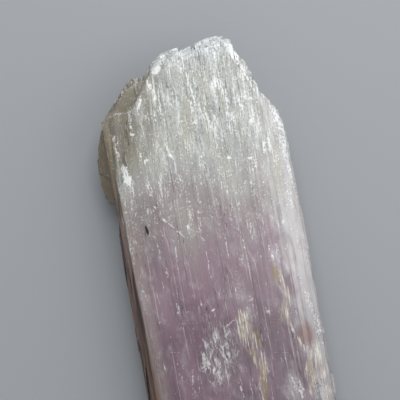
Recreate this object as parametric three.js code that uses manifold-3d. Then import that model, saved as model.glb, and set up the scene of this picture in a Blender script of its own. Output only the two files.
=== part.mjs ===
// Kunzite crystal: one flattened prism of pink-lilac spodumene, lying on its broad back face.
//
// Spodumene grows as a bundle of thin parallel laths, which is what gives its prism faces their
// ridges and grooves. The crystal is built the same way: straight laths, each one convex, stand
// side by side in three sheets and are joined into one solid. Each lath ends at its own height,
// so the natural tip is a ragged, etched crest, and the other end is a splintery cross break.
//
// Units are millimetres. +X runs across the blade, +Y along the prism towards the natural tip,
// and +Z out of the broad front face. The back face rests on Z = 0, and the origin is the middle
// of the base.

import * as THREE from "three";
import { ConvexGeometry } from "three/addons/geometries/ConvexGeometry.js";
import { mergeVertices } from "three/addons/utils/BufferGeometryUtils.js";
import Module from "manifold-3d";

const wasm = await Module();
wasm.setup();

// ---- Driving dimensions -------------------------------------------------------------------

const TIP_Y = 56.8; // the highest point of the natural tip
const BREAK_Y = -56.8; // the lowest point of the broken end
const FRONT_Z = 16; // the broad front face at its highest
const FRONT_SHEET = { left: -18.4, right: 21, back: 10.5 };
const MIDDLE_SHEET = { left: -19.6, right: 21.6, front: 13, back: 4 };
const BACK_SHEET = { left: -18.6, right: 20, front: 6.5, back: 0 };

const LAP = 0.5; // how far a lath reaches under its neighbour
const FINE_GROOVES = [0.01, 0.08]; // least and greatest depth of the grooves on the front
const COARSE_GROOVES = [0.12, 0.42]; // the same in the shoulder and behind the front sheet
const GROOVE_HALF_WIDTH = 0.28;
const STEEPEST_TIP = 1.2; // the steepest slope of a lath's end across the blade

// The crest of the front sheet, seen from the front: [x, y].
const FRONT_CREST = [
  [-18.4, 28.0],
  [-16.6, 31.6],
  [-15.6, 35.2],
  [-14.4, 40.2],
  [-13.0, 44.2],
  [-11.0, 46.9],
  [-8.4, 50.3],
  [-6.8, 52.3],
  [-5.4, 53.6],
  [-3.6, 54.7],
  [-1.8, 55.2],
  [0.4, 55.5],
  [2.2, 54.8],
  [3.6, 55.4],
  [6.4, 55.9],
  [8.8, 56.6],
  [11.0, TIP_Y],
  [13.2, 56.0],
  [14.1, 53.4],
  [15.5, 50.9],
  [16.4, 47.6],
  [17.8, 44.0],
  [18.9, 41.3],
  [20.8, 39.4],
  [21.8, 36.0],
  [22.7, 30.0],
];

// The crest of the left shoulder, a lower stretch of laths beside the tip: [x, y].
const SHOULDER_CREST = [
  [-18.6, 43.4],
  [-16.5, 45.4],
  [-14.9, 47.9],
  [-12.6, 50.2],
  [-10.6, 51.0],
  [-8.4, 50.6],
  [-6.8, 49.6],
];
const SHOULDER = { left: -18.6, right: -7.4, foot: 20, front: 15.1, drop: 3.4 };

// The front face's relief across the blade: [x, z].
const FRONT_RELIEF = [
  [-18.4, 15.1],
  [-12.0, 15.6],
  [-4.0, 15.9],
  [5.0, FRONT_Z],
  [12.5, 15.6],
  [17.2, 14.7],
  [21.0, 12.9],
];

// ---- Small tools --------------------------------------------------------------------------

// A repeatable stream of numbers from 0 to 1.
function stream(seed) {
  let state = seed;
  return () => {
    state = (state + 0x6d2b79f5) >>> 0;
    let t = state;
    t = Math.imul(t ^ (t >>> 15), t | 1);
    t ^= t + Math.imul(t ^ (t >>> 7), t | 61);
    return ((t ^ (t >>> 14)) >>> 0) / 4294967296;
  };
}

const between = (random, low, high) => low + (high - low) * random();
const point = ([x, y, z]) => new THREE.Vector3(x, y, z);

// The height of a line of points [x, height] at x, held level past its ends.
function heightAt(line, x) {
  if (x <= line[0][0]) return line[0][1];
  for (let i = 1; i < line.length; i++) {
    const [x0, h0] = line[i - 1];
    const [x1, h1] = line[i];
    if (x <= x1) return h0 + ((h1 - h0) * (x - x0)) / (x1 - x0);
  }
  return line[line.length - 1][1];
}

// The end of a lath under a crest: its slope across the blade and its height in the middle, with
// neither edge above the crest. Where the crest is steeper than STEEPEST_TIP, the laths step.
function endUnder(crest, left, right) {
  const atLeft = heightAt(crest, left);
  const atRight = heightAt(crest, right);
  const rise = (atRight - atLeft) / (right - left);
  const slope = Math.max(-STEEPEST_TIP, Math.min(STEEPEST_TIP, rise));
  const half = (right - left) / 2;
  return { slope, height: Math.min(atLeft + slope * half, atRight - slope * half) };
}

function solidOf(geometry) {
  geometry.deleteAttribute("normal");
  geometry.deleteAttribute("uv");
  const merged = mergeVertices(geometry, 1e-4);
  return new wasm.Manifold(
    new wasm.Mesh({
      numProp: 3,
      vertProperties: merged.attributes.position.array,
      triVerts: new Uint32Array(merged.index.array),
    }),
  );
}

// The convex body that wraps a few corners [x, y, z].
const chunk = (corners) => solidOf(new ConvexGeometry(corners.map(point)));

// One straight lath: a convex section [[x, z], ...] carried along Y from foot to tip. Its ends
// are planes that slope by [per x, per z] about the section's middle. lean shifts the section at
// the tip by [x, z], so that the lath's faces slope along the prism.
function lath(section, { foot, tip, footSlope = [0, 0], tipSlope = [0, 0], lean = [0, 0] }) {
  const middleX = section.reduce((sum, [x]) => sum + x, 0) / section.length;
  const middleZ = section.reduce((sum, [, z]) => sum + z, 0) / section.length;
  const end = (y, slope, x, z) => y + slope[0] * (x - middleX) + slope[1] * (z - middleZ);
  return chunk(
    section.flatMap(([x, z]) => [
      [x, end(foot, footSlope, x, z), z],
      [x + lean[0], end(tip, tipSlope, x, z), z + lean[1]],
    ]),
  );
}

// Cuts the stretch from left to right into laths of uneven width: [[left, right], ...].
function lathWidths(random, { left, right }, least, greatest) {
  const edges = [left];
  while (right - edges.at(-1) > greatest)
    edges.push(edges.at(-1) + between(random, least, greatest));
  edges.push(right);
  return edges.slice(1).map((edge, i) => [edges[i], edge]);
}

// A lath's section from back to front. Its front corners are bevelled, which leaves a groove
// beside each neighbour. frontLeft and frontRight are its front face's levels.
function bevelled(left, right, frontLeft, frontRight, back, groove) {
  const drop = (groove * (GROOVE_HALF_WIDTH + LAP)) / GROOVE_HALF_WIDTH;
  const inwards = Math.sign(back - frontLeft);
  return [
    [left - LAP, back],
    [left - LAP, frontLeft + inwards * drop],
    [left + GROOVE_HALF_WIDTH, frontLeft],
    [right - GROOVE_HALF_WIDTH, frontRight],
    [right + LAP, frontRight + inwards * drop],
    [right + LAP, back],
  ];
}

// ---- The broken end -----------------------------------------------------------------------

// The foot of a lath at the break.
const brokenFoot = (random) => ({
  foot: BREAK_Y + between(random, 0.5, 1.3),
  footSlope: [between(random, -0.1, 0.1), between(random, -0.06, 0.06)],
});

// Spodumene splits along the prism at about 45 degrees to the broad face. Splinters of that
// section are lost from the break: a few thick ones, then thinner and deeper ones among them.
const SPLINTERS = [
  { count: 12, reach: [3.6, 6.4], depth: [0.6, 2.6], slope: 0.3 },
  { count: 24, reach: [1.3, 3.0], depth: [0.9, 3.6], slope: 0.9 },
];

function lostSplinters() {
  const random = stream(97);
  return SPLINTERS.flatMap(({ count, reach, depth, slope }) =>
    Array.from({ length: count }, (_, i) => {
      const x = -22 + (44 * (i + between(random, 0.1, 0.9))) / count;
      const z = i % 2 === 0 ? between(random, 9, 17) : between(random, -1, 8);
      const across = between(random, ...reach);
      const through = across * between(random, 0.7, 1.2);
      return lath(
        [
          [x - across, z],
          [x, z + through],
          [x + across, z],
          [x, z - through],
        ],
        {
          foot: BREAK_Y - 12,
          tip: BREAK_Y + between(random, ...depth),
          tipSlope: [between(random, -slope, slope), between(random, -slope, slope)],
        },
      );
    }),
  );
}

// ---- The sheets of laths ------------------------------------------------------------------

// The ends of a lath from left to right. Its end facet leans by zSlope and its middle lies below
// the crest, give or take spread, so that only the facet's far edge reaches the crest.
function ends(random, crest, left, right, { zSlope, below, spread }) {
  const { slope, height } = endUnder(crest, left, right);
  return {
    ...brokenFoot(random),
    tip: height - below + between(random, -spread, spread),
    tipSlope: [slope, zSlope + between(random, -0.1, 0.1)],
  };
}

// The end facets of the front sheet face up and forwards, which gives the crest a bright rim.
function frontSheet() {
  const random = stream(11);
  return lathWidths(random, FRONT_SHEET, 0.9, 2.1).map(([left, right]) => {
    const step = between(random, -0.1, 0.06);
    const groove = between(random, ...FINE_GROOVES);
    return lath(
      bevelled(
        left,
        right,
        heightAt(FRONT_RELIEF, left) + step,
        heightAt(FRONT_RELIEF, right) + step,
        FRONT_SHEET.back + step,
        groove,
      ),
      ends(random, FRONT_CREST, left, right, { zSlope: -0.4, below: 1.28, spread: 0.32 }),
    );
  });
}

// The left shoulder's laths dip away from the front face towards their tips.
function shoulder() {
  const random = stream(23);
  return lathWidths(random, SHOULDER, 1.2, 2.4).map(([left, right]) => {
    const { slope, height } = endUnder(SHOULDER_CREST, left, right);
    const front = SHOULDER.front + between(random, -0.25, 0.15);
    return lath(
      bevelled(left, right, front, front, FRONT_SHEET.back - 1, between(random, ...COARSE_GROOVES)),
      {
        foot: SHOULDER.foot,
        tip: height - 0.2 + between(random, -0.3, 0.3),
        tipSlope: [slope, between(random, -0.3, 0)],
        lean: [0, -SHOULDER.drop + between(random, -0.2, 0.4)],
      },
    );
  });
}

// The crest behind the front sheet: the shoulder's on the left, the front sheet's elsewhere.
const INNER_CREST = [
  ...SHOULDER_CREST.map(([x, y]) => [x, y - 0.8]),
  ...FRONT_CREST.filter(([x]) => x > SHOULDER.right + 1),
];

// The middle and back sheets slope away behind the crest, so that the tip is a blunt chisel.
function middleSheet() {
  const random = stream(37);
  return lathWidths(random, MIDDLE_SHEET, 1.8, 3.6).map(([left, right]) =>
    lath(
      bevelled(
        left,
        right,
        MIDDLE_SHEET.back,
        MIDDLE_SHEET.back,
        MIDDLE_SHEET.front - between(random, 0, 0.6),
        between(random, ...COARSE_GROOVES),
      ),
      ends(random, INNER_CREST, left, right, { zSlope: 0.55, below: 3.5, spread: 0.9 }),
    ),
  );
}

// Two laths in three of the back sheet lie flat on Z = 0, and the rest sit a little above it.
function backSheet() {
  const random = stream(41);
  return lathWidths(random, BACK_SHEET, 2.2, 4.2).map(([left, right], i) => {
    const back = i % 3 === 1 ? between(random, 0.2, 0.5) : BACK_SHEET.back;
    const front = BACK_SHEET.front - between(random, 0, 0.6);
    return lath(
      bevelled(left, right, back, back, front, between(random, ...COARSE_GROOVES)),
      ends(random, INNER_CREST, left, right, { zSlope: 0.8, below: 8.4, spread: 1.9 }),
    );
  });
}

// ---- The flanks ---------------------------------------------------------------------------

// The prism faces down both sides, as stepped ledges: each a section [[x, z], ...] that runs
// from the break up to its tip. On the left they lean in towards their tips by LEFT_LEAN.
const LEFT_LEAN = 0.6;
const FLANK_LEDGES = [
  // left side, from the front edge to the back
  {
    section: [[-17.8, 15.3], [-19.0, 14.9], [-20.7, 9.4], [-20.5, 7.2], [-15, 7], [-15, 14.6]],
    tip: 25,
  },
  {
    section: [[-19.5, 12.9], [-20.6, 11.0], [-21.2, 8.2], [-20.7, 6.4], [-15, 7], [-15, 12]],
    tip: 8,
  },
  {
    section: [[-19.9, 9.8], [-21.2, 8.2], [-21.5, 6.2], [-20.5, 4.0], [-15, 4], [-15, 9]],
    tip: 21,
  },
  {
    section: [[-20.0, 6.4], [-20.8, 5.0], [-20.3, 2.6], [-18.9, 0.5], [-15, 0], [-15, 6]],
    tip: 31,
  },
  {
    section: [[-17.6, 13.6], [-18.9, 12.6], [-19.9, 9.0], [-19.5, 5.0], [-14, 5], [-14, 13]],
    tip: 42,
  },
  // right side
  {
    section: [[18.8, 13.9], [21.1, 12.9], [22.6, 9.7], [22.3, 7.0], [15, 7], [15, 13.6]],
    tip: 35,
  },
  {
    section: [[21.4, 11.0], [22.8, 8.9], [22.7, 6.4], [21.6, 4.2], [15, 4], [15, 10]],
    tip: 29,
  },
  {
    section: [[21.2, 6.6], [21.8, 4.4], [21.0, 1.8], [19.4, 0.3], [15, 0], [15, 6]],
    tip: 23,
  },
];

function flanks() {
  const random = stream(53);
  return FLANK_LEDGES.map(({ section, tip }) =>
    lath(section, {
      ...brokenFoot(random),
      tip,
      tipSlope: [between(random, -0.2, 0.2), between(random, 0.1, 0.5)],
      lean: [section[0][0] < 0 ? LEFT_LEAN : 0, 0],
    }),
  );
}

// The reach of each flank at a height: [z, distance from the middle plane].
const RIGHT_PROFILE = [[0.3, 19.4], [1.8, 21.0], [4.4, 21.8], [6.4, 22.7], [8.9, 22.8], [12.9, 21.1]];
const LEFT_PROFILE = [[0.5, 18.9], [2.6, 20.3], [5.0, 20.8], [6.2, 21.5], [8.2, 21.2], [14.9, 19.0]];

// Thin raised laths on one flank, to the right (side 1) or the left (side -1). Their ends taper.
function flankRiders(seed, side, profile) {
  const random = stream(seed);
  return Array.from({ length: 11 }, () => {
    const z = between(random, 2.5, 11.5);
    const halfHeight = between(random, 0.3, 1.1);
    const rise = between(random, 0.06, 0.26);
    const length = between(random, 8, 34);
    const foot = between(random, -46, 18 - length);
    const corner = (height, out) => [side * (heightAt(profile, height) + out), height];
    return lath(
      [
        corner(z - halfHeight, rise),
        corner(z + halfHeight, rise),
        corner(z + halfHeight, -1.6),
        corner(z - halfHeight, -1.6),
      ],
      {
        foot,
        footSlope: [-side * between(random, 3, 7), between(random, -3, 3)],
        tip: foot + length,
        tipSlope: [side * between(random, -7, -3), between(random, -3, 3)],
        lean: [side < 0 ? (LEFT_LEAN * length) / (TIP_Y - BREAK_Y) : 0, 0],
      },
    );
  });
}

// Spindle-shaped lumps where the right edge bulges: the middle of each in Y, its length and its
// reach.
const RIGHT_EDGE_LUMPS = [
  { y: 8, length: 22, reach: 23.0 },
  { y: -15.2, length: 6.5, reach: 23.1 },
  { y: -29, length: 10, reach: 23.3 },
  { y: -39, length: 8, reach: 23.1 },
];

const rightEdgeLumps = () =>
  RIGHT_EDGE_LUMPS.map(({ y, length, reach }) =>
    chunk([
      [21.9, y - length / 2, 8.6],
      [reach - 0.2, y - length * 0.22, 9.9],
      [reach, y - length * 0.12, 7.9],
      [reach, y + length * 0.2, 8.8],
      [reach - 0.3, y + length * 0.3, 6.9],
      [22.0, y + length / 2, 8.0],
      [18.8, y - length * 0.3, 12.6],
      [18.8, y + length * 0.3, 12.2],
      [18.8, y - length * 0.2, 5],
      [18.8, y + length * 0.4, 5.6],
    ]),
  );

// The small side crystal on the left of the shoulder: an upper and a lower piece that meet on a
// slanting ridge. Its rounded lower tip stands free of the flank.
const SIDE_CRYSTAL_UPPER = [
  [-18.2, 43.2, 9.6], [-18.2, 43.2, 4.6], [-20.7, 39.9, 9.9], [-20.9, 39.2, 4.4],
  [-22.2, 36.2, 9.2], [-22.6, 34.6, 5.0], [-23.2, 30.4, 7.8], [-23.0, 29.4, 4.2],
  [-17.6, 26.0, 10.8], [-17.6, 26.0, 3.2],
];
const SIDE_CRYSTAL_LOWER = [
  [-23.0, 33.6, 8.0], [-23.3, 31.0, 4.4], [-23.1, 27.2, 7.2], [-22.7, 24.0, 6.6],
  [-22.1, 22.3, 6.0], [-21.0, 21.8, 5.2], [-22.3, 23.2, 3.9], [-20.2, 22.6, 6.8],
  [-19.0, 26.4, 8.9], [-18.4, 25.4, 3.6], [-18.4, 37.0, 9.4], [-18.4, 37.0, 2.9],
];

// ---- Fine relief on the front -------------------------------------------------------------

// Thin raised laths on the front face that start and stop along it. Their ends taper off to one
// side and ramp down to the face.
function riders() {
  const random = stream(67);
  const sideways = () => (random() < 0.5 ? -1 : 1) * between(random, 1.2, 3.2);
  return Array.from({ length: 40 }, () => {
    const x = between(random, -17, 19.4);
    const halfWidth = between(random, 0.3, 0.8);
    const rise = between(random, 0.04, 0.15);
    const length = between(random, 9, 40);
    const foot = between(random, -42, heightAt(FRONT_CREST, x) - length - 10);
    const front = heightAt(FRONT_RELIEF, x) + rise;
    return lath(
      [
        [x - halfWidth - LAP, front - 1.6],
        [x - halfWidth, front],
        [x + halfWidth, front],
        [x + halfWidth + LAP, front - 1.6],
      ],
      {
        foot,
        footSlope: [sideways(), between(random, 3, 7)],
        tip: foot + length,
        tipSlope: [sideways(), -between(random, 3, 7)],
      },
    );
  });
}

// A spindle-shaped etch pit, long in Y, cut into the front (side 1) or the back (side -1).
const etchPit = (x, y, surface, side, length, width, depth) =>
  chunk([
    [x, y - length / 2, surface + side * 0.4],
    [x - width / 2, y + length * 0.1, surface + side * 0.4],
    [x + width / 2, y - length * 0.1, surface + side * 0.4],
    [x, y + length / 2, surface + side * 0.4],
    [x, y + length * 0.15, surface - side * depth],
    [x, y - length * 0.2, surface - side * depth * 0.7],
  ]);

const ROUGH_PATCH = { x: [-5.5, 5.0], y: [-27, -9] };

function etchPits() {
  const random = stream(79);
  const front = (count, xs, ys, lengths, widths, depths) =>
    Array.from({ length: count }, () => {
      const x = between(random, ...xs);
      const y = Math.min(between(random, ...ys), heightAt(FRONT_CREST, x) - 6);
      return etchPit(
        x,
        y,
        heightAt(FRONT_RELIEF, x),
        1,
        between(random, ...lengths),
        between(random, ...widths),
        between(random, ...depths),
      );
    });
  const back = Array.from({ length: 12 }, () =>
    etchPit(
      between(random, -15, 16),
      between(random, -44, 34),
      BACK_SHEET.back,
      -1,
      between(random, 4, 16),
      between(random, 0.8, 1.8),
      between(random, 0.3, 0.8),
    ),
  );
  return [
    ...front(16, [-17, 19.6], [-50, 46], [4, 15], [0.6, 1.4], [0.12, 0.3]),
    ...front(16, ROUGH_PATCH.x, ROUGH_PATCH.y, [2.5, 6], [0.9, 1.9], [0.15, 0.35]),
    ...back,
  ];
}

// Slivers split off the edges along the prism: the middle [x, z] of each at the edge, its stretch
// in Y and its reach into the crystal.
const CHIPS = [
  { edge: [-18.9, 15.6], from: 24.6, to: 31.8, reach: 2.4 },
  { edge: [22.6, 12.6], from: 21.0, to: 31.5, reach: 1.5 },
  { edge: [22.4, 12.8], from: -51.5, to: -42.0, reach: 1.9 },
  { edge: [-19.6, 15.4], from: -57.5, to: -48.5, reach: 2.0 },
];

const chips = () =>
  CHIPS.map(({ edge: [x, z], from, to, reach }) => {
    const across = -Math.sign(x) * reach;
    const at = (share) => from + share * (to - from);
    return chunk([
      [x - across * 2, at(-0.1), z - reach * 0.4],
      [x - across * 2, at(1.15), z - reach * 0.4],
      [x, at(-0.1), z + reach * 2],
      [x, at(1.15), z + reach * 2],
      [x + across * 1.3, at(0.2), z + reach * 0.5],
      [x + across * 1.1, at(0.72), z + reach * 0.6],
      [x + across * 0.4, at(0.34), z - reach * 0.5],
      [x - across * 0.3, at(0.66), z - reach * 0.9],
    ]);
  });

// ---- The crystal --------------------------------------------------------------------------

function crystalSolid() {
  const grown = [
    ...frontSheet(),
    ...shoulder(),
    ...middleSheet(),
    ...backSheet(),
    ...flanks(),
    ...flankRiders(59, 1, RIGHT_PROFILE),
    ...flankRiders(61, -1, LEFT_PROFILE),
    ...rightEdgeLumps(),
    chunk(SIDE_CRYSTAL_UPPER),
    chunk(SIDE_CRYSTAL_LOWER),
    ...riders(),
  ];
  const lost = [...etchPits(), ...chips(), ...lostSplinters()];
  return wasm.Manifold.union(grown).subtract(wasm.Manifold.union(lost));
}

function geometryOf(solid) {
  const { numProp, vertProperties, triVerts } = solid.getMesh();
  const position = new Float32Array((vertProperties.length / numProp) * 3);
  for (let i = 0; i < position.length / 3; i++)
    position.set(vertProperties.subarray(i * numProp, i * numProp + 3), i * 3);
  const geometry = new THREE.BufferGeometry();
  geometry.setAttribute("position", new THREE.BufferAttribute(position, 3));
  geometry.setIndex(new THREE.BufferAttribute(triVerts, 1));
  geometry.computeVertexNormals();
  return geometry;
}

// Puts the origin in the middle of the base.
function seated(geometry) {
  geometry.computeBoundingBox();
  const { min, max } = geometry.boundingBox;
  return geometry.translate(-(min.x + max.x) / 2, -(min.y + max.y) / 2, -min.z);
}

const crystal = new THREE.Mesh(
  seated(geometryOf(crystalSolid())),
  new THREE.MeshStandardMaterial({ color: 0xb3a3b0, roughness: 0.3, metalness: 0, flatShading: true }),
);
crystal.name = "kunzite_crystal";

const specimen = new THREE.Group();
specimen.add(crystal);

export default specimen;
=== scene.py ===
"""Kunzite crystal: a milky, striated blade of lilac spodumene lying on a pale studio floor.

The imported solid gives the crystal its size, ledges and broken end. A dense copy of it gets the
fine etched relief as real shape, and one procedural mineral material gives it its colours.
Lengths in the settings are in metres. Patterns, growth zones and marks are in millimetres, in the
crystal's own frame: x across it, y up the prism to the tip, z up from the face it lies on.
"""

import math

import bpy
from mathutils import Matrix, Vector


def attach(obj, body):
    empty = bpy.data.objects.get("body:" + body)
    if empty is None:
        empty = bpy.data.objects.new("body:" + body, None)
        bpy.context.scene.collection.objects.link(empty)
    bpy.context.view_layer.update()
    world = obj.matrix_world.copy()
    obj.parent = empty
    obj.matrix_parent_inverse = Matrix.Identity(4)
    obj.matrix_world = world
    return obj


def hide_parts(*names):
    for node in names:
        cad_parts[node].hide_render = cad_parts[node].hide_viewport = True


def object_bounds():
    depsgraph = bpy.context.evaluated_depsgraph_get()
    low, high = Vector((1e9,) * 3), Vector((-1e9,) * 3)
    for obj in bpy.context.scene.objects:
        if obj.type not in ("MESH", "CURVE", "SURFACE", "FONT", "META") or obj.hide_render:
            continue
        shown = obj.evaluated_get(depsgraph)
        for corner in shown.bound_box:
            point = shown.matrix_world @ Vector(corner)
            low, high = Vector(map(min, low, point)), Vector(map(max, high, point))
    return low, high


bl_info = {
    "name": "Kunzite Crystal",
    "version": (1, 0, 0),
    "blender": (4, 5, 0),
    "location": "View3D > Sidebar > Kunzite",
    "description": "Dresses the packed crystal with etched relief and a milky lilac finish",
    "category": "Mesh",
}

BODY = "root"
NODE = "kunzite_crystal"

MM = 0.001

# The striae lean to the right by this much for each millimetre up the prism.
STRIAE_LEAN = 0.05
# The stretch of deeply etched front face: centre and half sizes in mm, and how it is turned.
ETCHED_PATCH = (-2.6, -17.2, 15.5), (6.2, 9.6, 5.0)
ETCHED_TURN = math.radians(-20)

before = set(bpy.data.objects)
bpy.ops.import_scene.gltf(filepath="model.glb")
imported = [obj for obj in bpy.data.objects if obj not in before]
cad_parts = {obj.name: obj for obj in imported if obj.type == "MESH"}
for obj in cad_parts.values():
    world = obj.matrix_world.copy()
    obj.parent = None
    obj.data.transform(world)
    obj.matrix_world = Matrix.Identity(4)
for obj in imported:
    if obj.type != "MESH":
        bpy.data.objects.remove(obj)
CAD_LOW, CAD_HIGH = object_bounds()


# ---- Small tools --------------------------------------------------------------------------


def linear(hex_colour):
    """The linear red, green and blue of an sRGB colour such as #C9B7C4."""
    shares = [int(hex_colour[i : i + 2], 16) / 255 for i in (1, 3, 5)]
    return tuple(s / 12.92 if s <= 0.04045 else ((s + 0.055) / 1.055) ** 2.4 for s in shares)


MATH = "ShaderNodeMath"
VECTOR_MATH = "ShaderNodeVectorMath"
MAP_RANGE = "ShaderNodeMapRange"  # inputs: a value, its range, and the new range, 0 to 1 if left out
MIX = "ShaderNodeMix"
MIX_SHARE, MIX_UNDER, MIX_OVER = 0, 6, 7  # its inputs where it mixes colours
MIXED_COLOUR = 2  # its output then
GRADIENT = "ShaderNodeTexGradient"
GRADIENT_SHARE = 1  # the output of a gradient texture that is a number
SMOOTH = "SMOOTHSTEP"


def add_node(tree, kind, inputs=(), output=0, **settings):
    """Adds a node, gives its inputs values or links in order or by name, returns one output."""
    node = tree.nodes.new(kind)
    for name, value in settings.items():
        setattr(node, name, value)
    for key, value in inputs.items() if isinstance(inputs, dict) else enumerate(inputs):
        if isinstance(value, bpy.types.NodeSocket):
            tree.links.new(value, node.inputs[key])
        else:
            node.inputs[key].default_value = value
    return node.outputs[output] if node.outputs else None


def select_only(obj):
    """Makes obj the one selected and active object."""
    bpy.ops.object.select_all(action="DESELECT")
    obj.select_set(True)
    bpy.context.view_layer.objects.active = obj


# ---- Settings -----------------------------------------------------------------------------


def length(name, description, default):
    """A setting that is a length in metres."""
    return bpy.props.FloatProperty(
        name=name, description=description, default=default, min=0.0, precision=5, unit="LENGTH"
    )


def power(name, description, default):
    """A setting that is the power of a light in watts."""
    return bpy.props.FloatProperty(
        name=name, description=description, default=default, min=0.0, unit="POWER"
    )


def point(name, description, default):
    """A setting that is a place in metres."""
    return bpy.props.FloatVectorProperty(
        name=name, description=description, default=default, size=3, subtype="TRANSLATION"
    )


def colour(name, description, hex_colour):
    """A setting that is a colour, whose default is an sRGB colour such as #C9B7C4."""
    return bpy.props.FloatVectorProperty(
        name=name,
        description=description,
        default=linear(hex_colour),
        size=3,
        min=0.0,
        max=1.0,
        subtype="COLOR",
    )


class KunziteShape(bpy.types.PropertyGroup):
    """How finely the solid is cut, and how high its relief is"""

    cut_across: length("Cut Across", "Spacing of the cuts that run along the prism", 0.33 * MM)
    cut_along: length("Cut Along", "Spacing of the cuts that cross the prism", 1.5 * MM)
    cut_through: length("Cut Through", "Spacing of the cuts in the flanks", 0.75 * MM)
    seam: length("Seam", "The solid's loose triangles meet within this", 0.002 * MM)
    merge: length("Merge Distance", "Points of the cut mesh closer than this become one", 0.03 * MM)
    striae: length("Striae", "Height of the fine growth striae", 0.035 * MM)
    swell: length("Swell", "Height of the slow swelling of the faces", 0.2 * MM)
    etching: length("Etching", "Depth of the etch marks", 0.1 * MM)
    fracture: length("Fracture", "Roughness of the tip and of the broken end", 0.22 * MM)
    bump: length("Bump", "Height of the relief that is finer than the mesh", 0.08 * MM)
    smooth: bpy.props.FloatProperty(
        name="Smooth Angle",
        description="Edges that turn more than this stay sharp",
        default=math.radians(38),
        subtype="ANGLE",
    )


class KunziteColours(bpy.types.PropertyGroup):
    """The colours of the growth zones and of what lies in and on them, and of the painted shade"""

    tip: colour("Tip", "Silvery growth near the tip", "#BEBEB7")
    crest: colour("Crest", "Icy white of the crest", "#DEE4E7")
    middle: colour("Middle", "Greyish lilac of the middle", "#9E9391")
    lilac: colour("Lilac", "Lilac of the lower half", "#947A85")
    mauve: colour("Mauve", "Deepest mauve, in the clear stretches", "#866977")
    strip: colour("Strip", "Beige haze beside the left flank", "#9A8A85")
    olive: colour("Olive", "Olive growth of the shoulder", "#8E8165")
    side: colour("Side Crystal", "Brown of the side crystal", "#7F6D50")
    milk: colour("Milk", "Cloudy white under the right edge", "#CFCCCB")
    # this white is also painted as glints in the flecks and as light on the broken foot
    fibre: colour("Fibres", "Open white fibres and frosted places", "#F0F2F0")
    gap: colour("Gaps", "Darker clear growth between the white fibres", "#8A8B88")
    cool: colour("Cool Bands", "Bluish grey bands in the tip", "#AAAFB1")
    warm: colour("Warm Bands", "Straw grey bands in the tip", "#B3AF9F")
    # painted shade: this dark colour is painted into the hollows and the etched pits, and over the
    # left side
    painted_shade: colour("Hollows", "Dark hollows between the fibres", "#5A4F50")
    rosy: colour("Window", "Rosy growth behind the clear window", "#A08683")
    cream: colour("Cream", "Cream in the open fibres", "#CDC1B0")
    ochre: colour("Ochre", "Ochre clay in the open fibres", "#A38E6A")
    flank: colour("Flank", "Brown clay film on the left flank", "#6C5446")
    line: colour("Flank Lines", "Black lines in the clay film", "#261D18")
    speck: colour("Speck", "Black mineral speck", "#120D0B")
    depth: colour("Depth", "Pale lilac that light takes on inside the crystal", "#D9B9D2")


class KunziteStage(bpy.types.PropertyGroup):
    """The floor, the lights and the camera"""

    floor: colour("Floor", "Plain matt studio floor", "#999B9E")
    floor_size: length("Floor Size", "Width of the square floor", 3.0)
    lens: bpy.props.FloatProperty(
        name="Lens", description="Focal length of the camera", default=100.0, min=20.0, max=300.0
    )
    view_width: length("View Width", "Width of the view at the crystal's front face", 92.9 * MM)
    view_centre: point(
        "View Centre",
        "Point on the front face that the camera looks straight down at",
        (-0.5 * MM, 19.3 * MM, CAD_HIGH.z - 0.7 * MM),
    )
    lean: bpy.props.FloatProperty(
        name="Lean",
        description="How far the crystal leans to the left in the view",
        default=math.radians(10.5),
        subtype="ANGLE",
    )
    key: power("Key Light", "Power of the soft box beyond the tip", 1.8)
    key_place: point("Key Place", "Middle of the soft box beyond the tip", (0.08, 0.32, 0.38))
    key_size: length("Key Size", "Width of the soft box beyond the tip", 0.36)
    fill: power("Fill Light", "Power of the soft box on the right", 0.48)
    fill_place: point("Fill Place", "Middle of the soft box on the right", (0.34, 0.02, 0.28))
    fill_size: length("Fill Size", "Width of the soft box on the right", 0.3)
    ambient: bpy.props.FloatProperty(
        name="Ambient", description="Strength of the even light around", default=0.5, min=0.0
    )


# ---- Patterns that the relief and the colours share ---------------------------------------


SEED_STEP = (17.3, 5.1, 9.7)  # how far apart two seeds start in the noise, in grains


def stretched_noise(tree, place, across, along, detail=2.0, roughness=0.5, seed=0):
    """A noise pattern whose grains are across mm wide and along mm long, up the prism. Its
    values lie about 0.5, mostly between 0.3 and 0.7, and each seed gives another pattern."""
    grains = (1 / across, 1 / along, 1 / across)
    start = tuple(step * seed for step in SEED_STEP)
    squeezed = add_node(tree, VECTOR_MATH, (place, grains, start), operation="MULTIPLY_ADD")
    inputs = {"Vector": squeezed, "Scale": 1.0, "Detail": detail, "Roughness": roughness}
    return add_node(tree, "ShaderNodeTexNoise", inputs)


def in_millimetres(tree, position):
    """The position times 1000, so that patterns are given in millimetres."""
    return add_node(tree, VECTOR_MATH, {0: position, "Scale": 1 / MM}, operation="SCALE")


def wavering(tree, place, sideways, across, along, seed):
    """The place moved sideways by a slow noise, so that what runs along the prism wavers."""
    drift = stretched_noise(tree, place, across, along, detail=1.0, seed=seed)
    shift = add_node(tree, MAP_RANGE, (drift, 0.2, 0.8, -sideways, sideways))
    aside = add_node(tree, "ShaderNodeCombineXYZ", (shift,))
    return add_node(tree, VECTOR_MATH, (place, aside), operation="ADD")


def striae_course(tree, place):
    """The place measured along the striae, which lean and waver, so that patterns follow them."""
    y = add_node(tree, "ShaderNodeSeparateXYZ", (place,), output="Y")
    lean = add_node(tree, MATH, (y, -STRIAE_LEAN), operation="MULTIPLY")
    aside = add_node(tree, "ShaderNodeCombineXYZ", (lean,))
    upright = add_node(tree, VECTOR_MATH, (place, aside), operation="ADD")
    return wavering(tree, upright, 0.4, 5.0, 14.0, seed=6)


# ---- The crystal's fine relief ------------------------------------------------------------


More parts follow.
